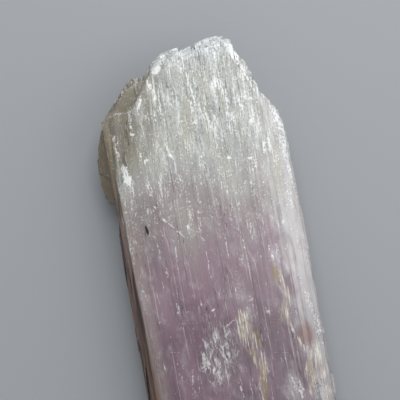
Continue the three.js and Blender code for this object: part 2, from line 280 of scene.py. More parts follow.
FIRST_CUT = 0.63  # where the first cut lies, in spacings from the solid's low side
ON_CUT = 1e-6  # points this near a cut, in metres, count as on it
FLANK_X = 17.0, 18.0  # how far from the middle the front gives way to the flanks, in mm
END_FACING_Y = 0.25, 0.7  # how far a face turns up or down the prism to belong to its ends
STEEP_FACING_Z = 0.5, 0.3  # how little a face looks up or down to count as steep
STRETCH = 1.45  # of the normal, whose parts are then held to 1, so that slants sink in full


def relief_group(shape):
    """The node group that pushes the faces in by the fine relief, and nothing below the floor."""
    tree = bpy.data.node_groups.new("etched_relief", "GeometryNodeTree")
    tree.interface.new_socket("Geometry", in_out="INPUT", socket_type="NodeSocketGeometry")
    tree.interface.new_socket("Geometry", in_out="OUTPUT", socket_type="NodeSocketGeometry")
    solid = add_node(tree, "NodeGroupInput")
    position = add_node(tree, "GeometryNodeInputPosition")
    normal = add_node(tree, "GeometryNodeInputNormal")
    place = in_millimetres(tree, position)
    course = striae_course(tree, place)

    facing = add_node(tree, VECTOR_MATH, (normal,), operation="ABSOLUTE")
    facing_y, facing_z = add_node(tree, "ShaderNodeSeparateXYZ", (facing,)).node.outputs[1:]
    end_face = add_node(tree, MAP_RANGE, (facing_y, *END_FACING_Y), interpolation_type=SMOOTH)
    prism_face = add_node(tree, MATH, (1.0, end_face), operation="SUBTRACT")

    # the etching is deepest in its patch, and a fifth as deep elsewhere on the prism
    centre, radii = ETCHED_PATCH
    reach = add_node(tree, VECTOR_MATH, (place, centre), operation="SUBTRACT")
    reach = add_node(tree, VECTOR_MATH, (reach, radii), operation="DIVIDE")
    reach = add_node(tree, VECTOR_MATH, (reach,), output="Value", operation="LENGTH")
    etched = (reach, 1.15, 0.7, 0.2, prism_face)
    etched = add_node(tree, MAP_RANGE, etched, interpolation_type=SMOOTH)

    layers = (  # height, where, grain across and along in mm, ends of the pattern, detail
        (shape.swell, prism_face, 6.0, 20.0, 0.3, 0.7, 1.0),
        (shape.striae, prism_face, 0.8, 9.0, 0.3, 0.7, 3.0),
        (shape.striae, prism_face, 2.4, 15.0, 0.35, 0.65, 2.0),
        (-shape.etching, etched, 0.8, 2.2, 0.5, 0.66, 3.0),
        (shape.fracture, end_face, 1.8, 1.8, 0.25, 0.75, 3.0),
    )
    # the highest striae only come up to the solid's own faces
    height = -(shape.swell + 2 * shape.striae)
    for seed, (size, where, across, along, low, high, detail) in enumerate(layers, 1):
        pattern = stretched_noise(tree, course, across, along, detail=detail, seed=seed)
        share = (pattern, low, high, 0.0, where)
        share = add_node(tree, MAP_RANGE, share, interpolation_type=SMOOTH)
        height = add_node(tree, MATH, (share, size, height), operation="MULTIPLY_ADD")

    # the front's ledges only sink, so that none folds over; the flanks also move inwards
    outwards = add_node(tree, VECTOR_MATH, {0: normal, "Scale": STRETCH}, operation="SCALE")
    outwards = add_node(tree, VECTOR_MATH, (outwards, (1.0, 1.0, 1.0)), operation="MINIMUM")
    outwards = add_node(tree, VECTOR_MATH, (outwards, (-1.0, -1.0, -1.0)), operation="MAXIMUM")
    steep = add_node(tree, MAP_RANGE, (facing_z, *STEEP_FACING_Z))
    off_middle = add_node(tree, "ShaderNodeSeparateXYZ", (place,))
    off_middle = add_node(tree, MATH, (off_middle,), operation="ABSOLUTE")
    aside = add_node(tree, MAP_RANGE, (off_middle, *FLANK_X, steep, 1.0))
    ways = add_node(tree, "ShaderNodeCombineXYZ", (aside, steep, 1.0))
    outwards = add_node(tree, VECTOR_MATH, (outwards, ways), operation="MULTIPLY")
    inwards = add_node(tree, VECTOR_MATH, {0: outwards, "Scale": height}, operation="SCALE")
    pushed = add_node(tree, VECTOR_MATH, (position, inwards), operation="ADD")
    above_floor = (pushed, (-1.0, -1.0, 0.0))
    kept = add_node(tree, VECTOR_MATH, above_floor, operation="MAXIMUM")
    moved = add_node(tree, "GeometryNodeSetPosition", {"Geometry": solid, "Position": kept})
    add_node(tree, "NodeGroupOutput", (moved,))
    return tree


class KUNZITE_OT_crystal(bpy.types.Operator):
    """Make the crystal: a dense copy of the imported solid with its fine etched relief"""

    bl_idname = "kunzite.crystal"
    bl_label = "Crystal"

    def execute(self, context):
        shape = context.scene.kunzite_shape
        select_only(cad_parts[NODE])
        bpy.ops.object.duplicate()
        crystal = context.view_layer.objects.active
        crystal.name = "kunzite_blade"
        bpy.ops.object.mode_set(mode="EDIT")
        bpy.ops.mesh.select_all(action="SELECT")
        bpy.ops.mesh.remove_doubles(threshold=shape.seam)
        for axis, spacing in enumerate((shape.cut_across, shape.cut_along, shape.cut_through)):
            self.cut(axis, spacing)
        bpy.ops.mesh.select_all(action="SELECT")
        bpy.ops.mesh.quads_convert_to_tris(quad_method="BEAUTY", ngon_method="BEAUTY")
        bpy.ops.mesh.remove_doubles(threshold=shape.merge)
        bpy.ops.object.mode_set(mode="OBJECT")
        bpy.ops.object.shade_smooth()

        relief = crystal.modifiers.new("Relief", "NODES")
        relief.node_group = relief_group(shape)
        bpy.ops.object.modifier_apply(modifier=relief.name)
        bpy.ops.object.shade_smooth_by_angle(angle=shape.smooth)

        crystal.data.materials.clear()
        crystal.data.materials.append(spodumene(context.scene.kunzite_colours, shape))
        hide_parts(NODE)
        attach(crystal, BODY)
        return {"FINISHED"}

    def cut(self, axis, spacing):
        """Cuts the mesh in edit mode by evenly spaced planes that face along one axis."""
        count = int((CAD_HIGH[axis] - CAD_LOW[axis]) / spacing)
        for i in range(count):
            place = [0.0, 0.0, 0.0]
            facing = [0.0, 0.0, 0.0]
            place[axis] = CAD_LOW[axis] + (i + FIRST_CUT) * spacing
            facing[axis] = 1.0
            bpy.ops.mesh.select_all(action="SELECT")
            bpy.ops.mesh.bisect(plane_co=place, plane_no=facing, threshold=ON_CUT)


# ---- The mineral --------------------------------------------------------------------------


REFRACTION = 1.66  # index of refraction of spodumene
DEPTH_DENSITY = 50.0  # how strongly the clear growth tints light, for each metre

# Marks: x and y of the middle, half width and half length in mm, turn in degrees, strength.
FROSTED = (  # white places where the surface or a healed crack scatters the light
    (1.0, 54.0, 1.2, 1.6, 20, 0.75),
    (4.6, 54.0, 0.8, 1.6, 0, 0.7),
    (12.2, 54.6, 1.2, 1.4, 10, 0.75),
    (13.4, 51.6, 0.9, 2.8, 14, 0.95),
    (8.8, 51.4, 0.4, 3.2, -3, 0.6),
    (15.6, 45.0, 0.3, 3.8, 20, 0.75),
    (17.0, 46.4, 0.35, 4.6, 23, 0.7),
    (20.9, 34.4, 0.9, 4.6, 12, 1.0),
    (22.0, 27.0, 0.5, 5.0, 5, 0.9),
    (22.6, 20.0, 0.7, 9.0, 2, 1.0),
    (21.9, 2.0, 0.5, 9.0, 2, 0.7),
    (-6.5, 45.0, 0.3, 2.2, -3, 0.65),
    (-5.8, 42.0, 0.3, 2.6, -4, 0.65),
    (-7.2, 40.2, 0.25, 1.8, -3, 0.6),
    (-7.4, 47.6, 0.5, 1.8, 0, 0.7),
    (-10.3, 43.6, 0.3, 2.8, -18, 0.65),
    (-9.4, 40.5, 0.4, 0.5, 0, 0.85),
    (-13.2, 38.6, 0.7, 3.4, 0, 0.5),
    (2.4, 42.0, 0.35, 2.6, -2, 0.6),
    (3.4, 40.0, 0.25, 1.8, -2, 0.6),
    (1.4, 37.1, 0.6, 0.4, 0, 0.85),
    (9.4, 38.0, 0.3, 0.5, 0, 0.85),
    (6.3, 37.6, 0.3, 0.7, 0, 0.8),
    (13.1, 39.0, 0.5, 0.3, 0, 0.75),
    (15.4, 40.4, 0.5, 0.4, 0, 0.75),
    (17.7, 29.6, 0.32, 1.9, -2, 1.0),
    (16.4, 28.6, 0.35, 1.4, 0, 0.8),
    (14.4, 35.4, 0.6, 1.4, 0, 0.6),
    (12.7, 26.8, 0.55, 0.4, 0, 0.75),
    (13.7, 24.7, 0.35, 0.35, 0, 0.8),
    (8.0, 27.5, 0.3, 0.9, 0, 0.8),
    (2.0, 29.3, 0.5, 0.9, 0, 0.7),
    (-5.5, 30.7, 0.4, 0.8, 30, 0.75),
    (-12.0, 32.0, 0.65, 0.55, 30, 0.9),
    (-11.3, 30.5, 0.4, 0.7, -30, 0.9),
    (-17.6, 33.8, 0.5, 3.0, 4, 0.75),
    (-16.6, 29.3, 0.75, 1.6, 8, 1.0),
    (-1.1, 16.8, 0.35, 0.6, 0, 0.6),
    (-4.4, 13.6, 0.5, 0.7, 0, 0.6),
    (17.6, 10.8, 0.35, 0.9, 8, 0.6),
    (19.2, 9.0, 0.3, 0.7, 0, 0.6),
    (20.5, 14.6, 0.4, 1.8, 0, 0.75),
    (15.1, 5.0, 0.35, 1.4, 10, 0.5),
    (4.0, -2.6, 0.3, 3.2, 7, 0.5),
    (7.0, -5.6, 0.6, 1.6, 0, 0.6),
    (10.3, -9.1, 0.5, 1.4, 10, 0.6),
    (-17.3, 0.5, 0.3, 3.0, 8, 0.5),
    (-10.1, -5.0, 0.4, 2.2, 3, 0.65),
    (-11.1, 4.0, 0.35, 1.6, 0, 0.6),
    (13.6, 4.4, 0.4, 2.6, 8, 0.6),
    (9.9, 41.2, 0.4, 3.0, -3, 0.7),
    (1.5, 41.2, 0.4, 2.4, -3, 0.7),
    (-14.7, -7.3, 0.4, 0.9, 10, 0.45),
    (20.4, -9.0, 0.7, 4.5, 4, 0.7),
    (-13.0, 42.0, 0.7, 2.4, -10, 0.8),
    (-17.6, 36.6, 0.5, 1.8, 6, 0.8),
    (21.7, -15.5, 1.0, 5.6, 3, 1.0),
    (22.5, -25.0, 0.9, 4.6, 4, 0.9),
    (13.2, -26.6, 0.35, 2.2, 4, 0.6),
    (14.6, -28.4, 0.6, 2.6, 0, 0.8),
    (-5.4, -13.8, 0.4, 1.8, 10, 0.85),
    (-6.4, -17.8, 0.4, 2.4, -2, 0.9),
    (-3.5, -21.8, 0.6, 2.4, -6, 0.75),
)
SCRATCHES = (  # chips, healed cracks and scratches, sharper than the frosted places
    (-4.1, 53.0, 1.0, 2.2, -50, 2.0),
    (-4.9, 51.3, 0.8, 1.4, -30, 1.7),
    (21.2, 26.0, 0.7, 8.0, 3, 1.2),
    (-16.3, 27.0, 1.1, 1.8, 10, 1.1),
    (-4.7, 26.9, 0.2, 2.6, -5, 0.55),
    (-9.8, 28.4, 0.18, 3.4, -9, 0.5),
    (-3.4, 20.8, 0.18, 5.0, -5, 0.6),
    (-9.3, 16.0, 0.35, 0.8, 40, 0.95),
    (-8.4, 15.0, 0.18, 1.9, 41, 0.7),
    (-6.4, 12.5, 0.2, 2.0, 39, 0.65),
    (-4.0, 11.4, 0.16, 1.8, -80, 0.5),
    (-1.3, 10.0, 0.2, 2.1, 35, 0.55),
    (-12.1, 9.4, 0.24, 2.1, 0, 0.7),
    (-14.5, 17.3, 0.2, 1.1, 0, 0.7),
    (7.6, 8.1, 0.15, 4.0, 4, 0.65),
    (3.6, 7.0, 0.15, 4.4, -1, 0.65),
    (-1.3, 4.6, 0.15, 5.2, 0, 0.6),
    (-8.2, 8.3, 0.15, 3.6, 0, 0.6),
    (7.7, 2.7, 0.15, 4.6, 3, 0.55),
    (-4.6, -4.4, 0.2, 0.9, 3, 0.8),
    (-2.1, -6.3, 0.24, 0.7, -62, 0.8),
    (-8.4, -6.3, 0.2, 1.4, -2, 0.5),
    (-15.7, -17.6, 0.25, 2.0, 1, 0.55),
    (-9.6, -20.8, 0.25, 2.2, -12, 0.6),
    (-1.4, -17.8, 0.32, 1.6, 30, 0.95),
    (0.9, -10.2, 0.32, 1.6, -65, 0.8),
    (1.0, -26.0, 0.3, 2.4, 12, 0.75),
    (11.4, -20.8, 0.25, 1.0, 10, 0.65),
    (-9.0, -8.3, 0.16, 5.0, 82, 0.42),
    (-13.0, -14.4, 0.16, 5.0, 82, 0.42),
    (13.0, -19.2, 0.16, 5.0, 80, 0.42),
)
CLOUDS = (  # milky places under the surface
    (18.3, 10.0, 2.6, 3.2, 8, 0.75),
    (20.0, 21.0, 1.6, 4.0, 0, 0.6),
    (14.4, 3.0, 1.7, 3.4, 8, 1.0),
    (15.4, -6.8, 1.3, 5.0, 6, 0.8),
    (19.6, -10.0, 1.2, 6.0, 4, 0.9),
    (5.4, -3.6, 1.8, 6.0, 7, 0.75),
    (-17.4, -0.8, 1.0, 5.5, 6, 0.8),
    (-18.9, 33.5, 0.6, 9.0, 3, 0.9),
    (6.2, -8.6, 1.4, 3.0, 4, 0.9),
    (-16.2, -11.0, 1.5, 5.0, 4, 0.5),
    (20.6, -10.0, 1.5, 8.0, 3, 0.7),
    (14.2, -27.6, 2.0, 4.2, 0, 1.3),
    (10.0, 49.6, 1.8, 4.0, -3, 0.6),
    (-12.6, 42.4, 1.3, 3.0, -6, 1.5),
    (-12.6, 36.0, 1.4, 3.2, -4, 0.9),
    (6.2, 13.4, 1.8, 3.2, 0, 0.7),
    (10.0, 10.0, 1.3, 6.5, 8, 0.65),
    (-6.2, 43.0, 1.8, 5.0, -4, 0.65),
    (-4.4, 12.6, 2.0, 2.2, 0, 0.75),
)
STRAW = (  # clearer bands of a straw grey
    (-2.0, 38.0, 1.9, 6.0, -4, 1.5),
    (17.6, 22.6, 1.5, 7.0, 2, 1.5),
    (17.2, 3.0, 1.0, 3.0, 4, 0.8),
)
CREAM = (  # open fibres with a little clay in them
    (15.2, -4.0, 0.5, 4.8, 11, 0.95),
    (14.3, -10.2, 1.2, 2.4, 0, 1.0),
    (15.2, -13.4, 0.5, 2.3, 10, 0.8),
    (16.7, -18.2, 0.4, 2.2, 12, 0.7),
    (4.5, -12.0, 1.8, 4.4, 2, 0.95),
    (5.6, -17.0, 1.0, 4.0, 5, 0.8),
    (6.9, -22.0, 0.8, 4.6, 3, 0.7),
    (3.0, -12.8, 0.9, 2.8, 0, 0.7),
    (5.5, -26.4, 0.35, 3.6, 0, 0.85),
    (7.5, -20.6, 0.4, 3.0, 6, 0.6),
    (20.3, -23.5, 2.2, 5.4, 4, 0.85),
    (17.5, -25.6, 1.2, 4.4, 0, 1.0),
    (21.4, -30.4, 1.3, 2.6, 0, 0.95),
)
OCHRE = (  # fibres packed with clay
    (13.5, -0.8, 1.1, 2.6, 5, 0.65),
    (14.7, -7.6, 0.35, 2.2, 8, 0.85),
    (7.0, -14.0, 0.6, 2.8, 6, 1.3),
    (4.1, -14.8, 0.4, 1.6, 0, 0.5),
    (5.2, -18.2, 1.2, 2.4, 15, 0.75),
    (6.4, -25.4, 0.65, 5.4, 0, 0.95),
    (17.7, -24.0, 0.5, 3.4, 0, 0.85),
)
# painted shade: the dark gaps between the fibres are painted darker as the shade in them
SHADED_HOLLOWS = (  # dark gaps between the fibres
    (18.4, -29.6, 0.9, 2.4, 0, 1.5),
    (20.0, -27.6, 0.7, 1.8, 10, 1.0),
    (-16.0, 28.1, 0.4, 0.7, 30, 0.7),
    (-4.2, -18.6, 0.6, 1.2, 0, 0.7),
    (-2.3, -15.4, 0.9, 0.8, 0, 0.7),
)
WINDOW = ((18.3, -16.2, 2.3, 3.2, -5, 1.1),)  # a clear round place with rosy growth behind it
SPECK = ((-13.9, 14.6, 0.26, 0.95, 8, 1.5),)  # a black grain of another mineral
MARK_LEVEL = 15.2  # height of the middle of the marks, in the front face, in mm
MARK_DEPTH = 5.0  # how far a mark reaches into the crystal, in mm
MARK_EDGE = 0.22  # how strong a mark has to be to show
SMOOTH_EDGE = 0.0  # in place of a pattern that frays the edge
FRAYED = 1.6  # how much larger a mark starts, because its frayed edge eats into it


def marks(tree, place, places, fray, full=0.55, most=1.0):
    """The share of a list's marks: most where a mark is as strong as full, and 0 outside them.
    The pattern fray wears their edges away where it is low and widens them where it is high."""
    strongest = 0.0
    for x, y, half_width, half_length, turn, strength in places:
        mark = {
            "Vector": place,
            "Location": (x, y, MARK_LEVEL),
            "Rotation": (0.0, 0.0, math.radians(turn)),
            "Scale": (half_width * FRAYED, half_length * FRAYED, MARK_DEPTH),
        }
        local = add_node(tree, "ShaderNodeMapping", mark, vector_type="TEXTURE")
        ball = add_node(tree, GRADIENT, (local,), GRADIENT_SHARE, gradient_type="SPHERICAL")
        share = add_node(tree, MATH, (ball, strength), operation="MULTIPLY")
        strongest = add_node(tree, MATH, (strongest, share), operation="MAXIMUM")
    frayed = add_node(tree, MATH, (strongest, fray, strongest), operation="MULTIPLY_ADD")
    share = (frayed, MARK_EDGE, full, 0.0, most)
    return add_node(tree, MAP_RANGE, share, interpolation_type=SMOOTH)


# Where each growth zone sets in and where it is full, in mm.
LILAC_Y = 19.0, 2.0
SILVERY_Y = 14.0, 36.0
CREST_Y = 47.5, 56.5
MAUVE_Y = 4.0, -14.0
OLIVE_Y = 22.0, 33.0
OLIVE_FADES_Y = 51.0, 43.0
OLIVE_X = -18.5, -31.0  # right of the step that parts the front sheet from the shoulder
SIDE_CRYSTAL_Y = 17.5, 22.0
SIDE_CRYSTAL_X = -17.3, -17.9  # at the ledge beside it
STRIP_Y = 25.0, 16.0
# painted shade: the left side is painted darker
STRIP_X = -14.0, -17.6
LEFT_SHADE_TOP_Y = 26.0, 19.0
LEFT_SHADE_FOOT_Y = -3.0, 7.0
LEFT_SHADE_X = -8.0, -14.0
# painted light: the right side is painted paler
PAINTED_LIGHT_X = -6.0, 14.0
CLOUDY_X = 13.0, 21.0
CLOUDY_Z = 6.0, 11.0
NARROWER_Y = -8.0, -22.0
NARROWER = 1.6  # how much narrower the cloudy growth is at the foot, in mm
ZONE_DRIFT = 9.0  # how far the borders between the zones up the prism stray, in mm
CLOUDY_DRIFT = 3.5  # how far the border of the cloudy growth strays, in mm

# The same for what lies in and on the growth zones.
WHITER_Y = -5.0, 45.0
DRIFTS_Y = 18.0, 44.0
SPECK_GLINTS_Y = 6.0, 21.0
GAPS_Y = 0.0, 52.0
SPARKLE_Y = -10.0, 30.0
FROSTED_Y = -5.0, 20.0
# painted light on the ledge walls: the height where it sets in and where it is full
PAINTED_LIGHT_WALLS_Z = 13.0, 14.5
FILM_Y = 27.0, 20.0
FILM_X = -18.3, -19.1
BROWN_Y = 20.0, -22.0

# Which faces carry what lies on them: the part of the normal where it sets in and where it is full.
# painted highlight: end faces that turn up the prism, towards the light beyond the tip, are painted
# whiter
HIGHLIGHT_FACING_Y = 0.3, 0.75
# the broken foot, which is paled partly as painted light
BREAK_FACING_Y = -0.3, -0.7
# painted light on the ledge walls: how far a wall faces sideways
PAINTED_LIGHT_WALLS_FACING_X = 0.3, 0.8
FILM_FACING_Y = -0.5, -0.3
FILM_FACING_Z = -0.7, -0.4

# How far the edges of the zones run to the right for each millimetre up the prism.
STEP_LEAN = 0.39
LEDGE_LEAN = -0.05
FLANK_LEAN = -0.03


def zones_up_the_prism(tree, colours, place, y):
    """The layers that follow each other up the prism, and how clear its foot is: lilac and mauve
    below the greyish middle, silvery with cool and warm bands above it, and the icy crest."""
    drift = stretched_noise(tree, place, 7.0, 12.0, seed=7)
    drift = add_node(tree, MAP_RANGE, (drift, 0.2, 0.8, -ZONE_DRIFT, ZONE_DRIFT))
    height = add_node(tree, MATH, (y, drift), operation="ADD")
    low_down = add_node(tree, MAP_RANGE, (height, *LILAC_Y), interpolation_type=SMOOTH)
    high_up = add_node(tree, MAP_RANGE, (height, *SILVERY_Y), interpolation_type=SMOOTH)
    crest = add_node(tree, MAP_RANGE, (y, *CREST_Y, 0.0, 0.8), interpolation_type=SMOOTH)

    tints = stretched_noise(tree, place, 2.4, 9.0, detail=1.0, seed=28)
    banded = add_node(tree, MATH, (high_up, 0.4), operation="MULTIPLY")
    cool = add_node(tree, MAP_RANGE, (tints, 0.5, 0.34, 0.0, banded), interpolation_type=SMOOTH)
    warm = add_node(tree, MAP_RANGE, (tints, 0.5, 0.66, 0.0, banded), interpolation_type=SMOOTH)

    lowest = add_node(tree, MAP_RANGE, (height, *MAUVE_Y), interpolation_type=SMOOTH)
    patches = stretched_noise(tree, place, 5.0, 9.0, detail=3.0, seed=8)
    clear = add_node(tree, MATH, (lowest, 0.4), operation="MULTIPLY")
    clear = (patches, 0.3, 0.62, clear, lowest)
    clear = add_node(tree, MAP_RANGE, clear, interpolation_type=SMOOTH)

    layers = (
        (low_down, colours.lilac),
        (high_up, colours.tip),
        (cool, colours.cool),
        (warm, colours.warm),
        (crest, colours.crest),
        (clear, colours.mauve),
    )
    return layers, clear


def zones_on_the_left(tree, x, y):
    """The shares of the painted shade that darkens the left side, the beige strip, the olive
    shoulder and the side crystal.
    """
    painted_left_shade = add_node(tree, MAP_RANGE, (y, *LEFT_SHADE_TOP_Y, 0.0, 0.34), interpolation_type=SMOOTH)
    painted_left_shade = add_node(tree, MAP_RANGE, (y, *LEFT_SHADE_FOOT_Y, 0.0, painted_left_shade), interpolation_type=SMOOTH)
    painted_left_shade = add_node(tree, MAP_RANGE, (x, *LEFT_SHADE_X, 0.0, painted_left_shade), interpolation_type=SMOOTH)
    strip = add_node(tree, MAP_RANGE, (y, *STRIP_Y, 0.0, 0.75), interpolation_type=SMOOTH)
    strip = add_node(tree, MAP_RANGE, (x, *STRIP_X, 0.0, strip), interpolation_type=SMOOTH)

    from_step = add_node(tree, MATH, (y, -STEP_LEAN, x), operation="MULTIPLY_ADD")
    olive = add_node(tree, MAP_RANGE, (y, *OLIVE_Y, 0.0, 0.85), interpolation_type=SMOOTH)
    olive = add_node(tree, MAP_RANGE, (y, *OLIVE_FADES_Y, 0.7, olive), interpolation_type=SMOOTH)
    olive = add_node(tree, MAP_RANGE, (from_step, *OLIVE_X, 0.0, olive), interpolation_type=SMOOTH)

    from_ledge = add_node(tree, MATH, (y, -LEDGE_LEAN, x), operation="MULTIPLY_ADD")
    side = add_node(tree, MAP_RANGE, (y, *SIDE_CRYSTAL_Y, 0.0, 0.9), interpolation_type=SMOOTH)
    side = (from_ledge, *SIDE_CRYSTAL_X, 0.0, side)
    side = add_node(tree, MAP_RANGE, side, interpolation_type=SMOOTH)
    return painted_left_shade, strip, olive, side


def zones_on_the_right(tree, place, x, y, z):
    """The shares of the painted light that pales the right side, of the veils, and of the cloudy
    growth under the edge.
    """
    painted_right_light = add_node(tree, MAP_RANGE, (x, *PAINTED_LIGHT_X, 0.0, 0.14), interpolation_type=SMOOTH)
    veils = stretched_noise(tree, place, 2.0, 3.4, detail=5.0, roughness=0.65, seed=26)
    veils = add_node(tree, MAP_RANGE, (veils, 0.48, 0.7, 0.0, 0.25), interpolation_type=SMOOTH)

    drift = stretched_noise(tree, place, 3.0, 6.0, detail=3.0, roughness=0.6, seed=16)
    drift = add_node(tree, MAP_RANGE, (drift, 0.3, 0.7, -CLOUDY_DRIFT, CLOUDY_DRIFT))
    from_edge = add_node(tree, MATH, (x, drift), operation="ADD")
    narrower = (y, *NARROWER_Y, 0.0, NARROWER)
    narrower = add_node(tree, MAP_RANGE, narrower, interpolation_type=SMOOTH)
    from_edge = add_node(tree, MATH, (from_edge, narrower), operation="SUBTRACT")
    cloudy = add_node(tree, MAP_RANGE, (z, *CLOUDY_Z, 0.35, 0.8), interpolation_type=SMOOTH)
    cloudy = (from_edge, *CLOUDY_X, 0.0, cloudy)
    cloudy = add_node(tree, MAP_RANGE, cloudy, interpolation_type=SMOOTH)
    return painted_right_light, veils, cloudy


def growth_zones(tree, colours, place, x, y, z):
    """The layers of colour that the crystal grew with, with painted shade on the left and painted
    light on the right, how clear it is, and how stained.
    """
    layers, clear = zones_up_the_prism(tree, colours, place, y)
    painted_left_shade, strip, olive, side_crystal = zones_on_the_left(tree, x, y)
    painted_right_light, veils, cloudy = zones_on_the_right(tree, place, x, y, z)
    layers = (
        *layers,
        # painted shade on the left side
        (painted_left_shade, colours.painted_shade),
        (strip, colours.strip),
        # painted light on the right side
        (painted_right_light, colours.milk),
        (veils, colours.milk),
        (olive, colours.olive),
        (side_crystal, colours.side),
        (cloudy, colours.milk),
    )
    stained = add_node(tree, MATH, (olive, side_crystal), operation="MAXIMUM")
    return layers, clear, stained


def fibrous_tones(tree, course, y, normal_y):
    """Two tones whose peaks are open white fibres and flecks, and whose dips are the gaps between
    them: one is even all over, and one is highest at the tip and whitest on the end faces that turn
    to the light beyond the tip, a painted highlight."""
    crooked = wavering(tree, course, 0.2, 1.0, 3.0, seed=24)
    fibres = stretched_noise(tree, crooked, 0.25, 4.5, roughness=0.6, seed=9)
    grain = stretched_noise(tree, course, 0.32, 0.6, detail=1.0, roughness=0.6, seed=21)
    bundles = stretched_noise(tree, course, 1.6, 6.0, detail=3.0, roughness=0.6, seed=10)
    even = add_node(tree, MATH, (grain, 0.6, fibres), operation="MULTIPLY_ADD")
    even = add_node(tree, MATH, (bundles, 0.8, even), operation="MULTIPLY_ADD")
    upwards = add_node(tree, MAP_RANGE, (y, *WHITER_Y, -1.35, -1.18), interpolation_type=SMOOTH)
    tone = add_node(tree, MATH, (even, upwards), operation="ADD")
    # painted highlight on the end faces turned to the light
    rim_highlight = add_node(tree, MAP_RANGE, (normal_y, *HIGHLIGHT_FACING_Y, 0.0, 0.16), interpolation_type=SMOOTH)
    return even, add_node(tree, MATH, (tone, rim_highlight), operation="ADD")


def open_fibres(tree, course, y, tone, clean):
    """White fibres that lie open, in drifts that are thickest towards the tip."""
    drifts = stretched_noise(tree, course, 2.6, 8.0, detail=3.0, roughness=0.6, seed=27)
    drifts = add_node(tree, MAP_RANGE, (drifts, 0.4, 0.6, 0.1, 1.2), interpolation_type=SMOOTH)
    drifts = add_node(tree, MATH, (drifts, clean), operation="MULTIPLY")
    towards_tip = add_node(tree, MAP_RANGE, (y, *DRIFTS_Y, 0.65, 1.0), interpolation_type=SMOOTH)
    drifts = add_node(tree, MATH, (drifts, towards_tip), operation="MULTIPLY")
    return add_node(tree, MAP_RANGE, (tone, 0.05, 0.18, 0.0, drifts), interpolation_type=SMOOTH)


def white_specks_and_glints(tree, course, y, grains, clean):
    """White flecks, partly real flecks and partly painted glints, which lie in fields in the upper
    half.
    """
    fields = stretched_noise(tree, course, 1.4, 4.5, detail=4.0, roughness=0.65, seed=12)
    upper = add_node(tree, MAP_RANGE, (y, *SPECK_GLINTS_Y, 0.05, clean), interpolation_type=SMOOTH)
    fields = add_node(tree, MAP_RANGE, (fields, 0.44, 0.58, 0.0, upper), interpolation_type=SMOOTH)
    return add_node(tree, MAP_RANGE, (grains, 0.57, 0.66, 0.0, fields), interpolation_type=SMOOTH)


def painted_light_on_ledge_walls(tree, z, normal_x, even):
    """The share of milk white on the low walls of the front's ledges: painted light that lifts the
    shade on the walls, and partly the pale ends of the fibres that lie open there.
    """
    steep = add_node(tree, MATH, (normal_x,), operation="ABSOLUTE")
    walls = add_node(tree, MAP_RANGE, (even, 1.1, 1.35, 0.3, 0.7), interpolation_type=SMOOTH)
    walls = add_node(tree, MAP_RANGE, (z, *PAINTED_LIGHT_WALLS_Z, 0.0, walls), interpolation_type=SMOOTH)
    walls = (steep, *PAINTED_LIGHT_WALLS_FACING_X, 0.0, walls)
    return add_node(tree, MAP_RANGE, walls, interpolation_type=SMOOTH)


def lightened_broken_foot(tree, place, normal_y):
    """The fresh break at the foot, and the white bruises along its splinters: partly the whitish
    splintery break, partly painted light that lifts the shade the foot lies in.
    """
    broken = (normal_y, *BREAK_FACING_Y, 0.0, 0.8)
    broken = add_node(tree, MAP_RANGE, broken, interpolation_type=SMOOTH)
    bruises = stretched_noise(tree, place, 1.8, 1.8, detail=5.0, roughness=0.65, seed=25)
    bruises = (bruises, 0.44, 0.66, 0.0, broken)
    return broken, add_node(tree, MAP_RANGE, bruises, interpolation_type=SMOOTH)


def etched_patch(tree, place, crooked):
    """The reach of the deeply etched patch, the pattern of its crooked strokes, the white on them
    and the painted shade in the pits between them."""
    centre, radii = ETCHED_PATCH
    patch = {
        "Vector": crooked,
        "Location": centre,
        "Rotation": (0.0, 0.0, ETCHED_TURN),
        "Scale": radii,
    }
    patch = add_node(tree, "ShaderNodeMapping", patch, vector_type="TEXTURE")
    patch = add_node(tree, GRADIENT, (patch,), GRADIENT_SHARE, gradient_type="SPHERICAL")
    patch = add_node(tree, MAP_RANGE, (patch, 0.05, 0.6), interpolation_type=SMOOTH)
    strokes = wavering(tree, place, 0.8, 1.2, 2.2, seed=23)
    strokes = stretched_noise(tree, strokes, 0.55, 3.2, detail=4.0, roughness=0.65, seed=22)
    etched = add_node(tree, MAP_RANGE, (strokes, 0.5, 0.64, 0.0, patch), interpolation_type=SMOOTH)
    # painted shade in the pits between the strokes
    pits = add_node(tree, MAP_RANGE, (strokes, 0.46, 0.36, 0.0, patch), interpolation_type=SMOOTH)
    return patch, strokes, etched, pits


def clay_film(tree, course, x, y, normal_y, normal_z):
    """The clay film on the left flank, how brown it is, and the black lines where it is thick."""
    film = add_node(tree, MAP_RANGE, (normal_z, *FILM_FACING_Z), interpolation_type=SMOOTH)
    film = (normal_y, *FILM_FACING_Y, 0.0, film)
    film = add_node(tree, MAP_RANGE, film, interpolation_type=SMOOTH)
    film = add_node(tree, MAP_RANGE, (y, *FILM_Y, 0.0, film), interpolation_type=SMOOTH)
    from_flank = add_node(tree, MATH, (y, -FLANK_LEAN, x), operation="MULTIPLY_ADD")
    film = (from_flank, *FILM_X, 0.0, film)
    film = add_node(tree, MAP_RANGE, film, interpolation_type=SMOOTH)
    brown = add_node(tree, MAP_RANGE, (y, *BROWN_Y, 0.62, 0.95), interpolation_type=SMOOTH)
    brown = add_node(tree, MATH, (brown, film), operation="MULTIPLY")
    lines = stretched_noise(tree, course, 0.5, 26.0, seed=20)
    lines = add_node(tree, MAP_RANGE, (lines, 0.49, 0.66, 0.0, film), interpolation_type=SMOOTH)
    return film, brown, lines


